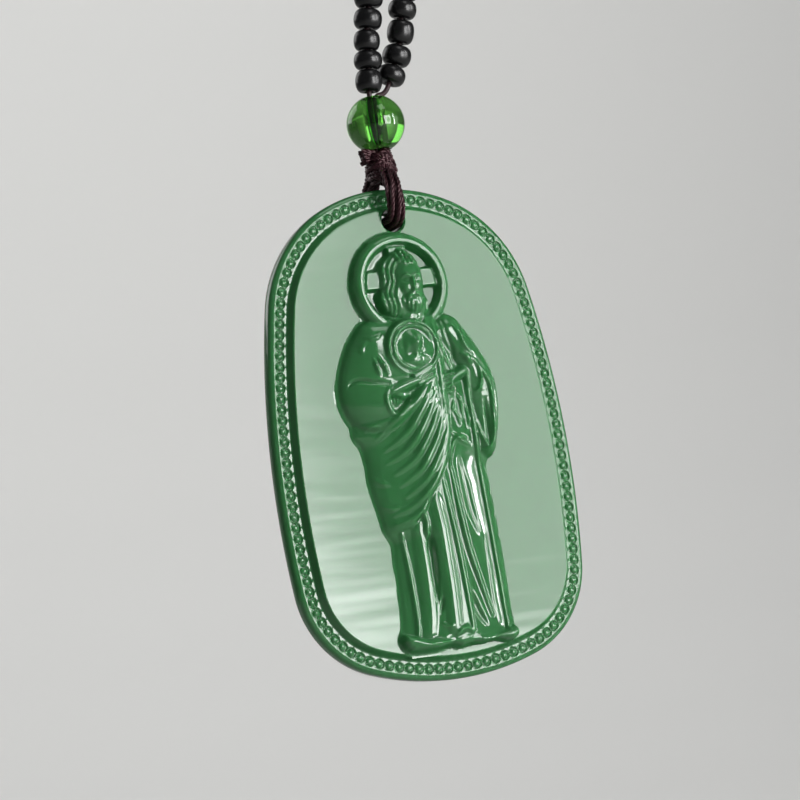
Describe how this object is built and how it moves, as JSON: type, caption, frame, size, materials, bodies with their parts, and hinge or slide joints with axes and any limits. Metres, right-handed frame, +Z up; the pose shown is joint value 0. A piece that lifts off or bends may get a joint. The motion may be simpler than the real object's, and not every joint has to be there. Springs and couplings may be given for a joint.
{
  "type": "pendant necklace",
  "caption": "Long string of small black beads ending in a green bead and a knotted cord that carries a carved green plaque with a standing robed figure.",
  "frame": {"origin": "inside of the string's top, where the necklace rests on the back of the neck", "axes": "+Z up, +X to the right of the picture (the wearer's left), +Y to the back, away from the viewer"},
  "size_m": [0.124, 0.0112, 0.3564],
  "materials": {
    "milky_green_stone": "polished, waxy, slightly translucent",
    "dark_cord": "silky twisted cord",
    "green_glass": "clear polished glass",
    "black_glass": "opaque polished glass",
    "dark_thread": "waxed thread"
  },
  "bodies": {
    "string": {"bead_strand_left": "black_glass", "bead_strand_right": "black_glass", "thread": "dark_thread", "green_bead": "green_glass", "hanging_cord": "dark_cord"},
    "plaque": {"plaque": "milky_green_stone"}
  },
  "joints": [
    {"name": "plaque_swing", "type": "hinge", "parent": "string", "child": "plaque", "pos_m": [0, 0.0013, -0.2898], "axis": [0, 1, 0], "range_deg": [-15, 15]}
  ]
}
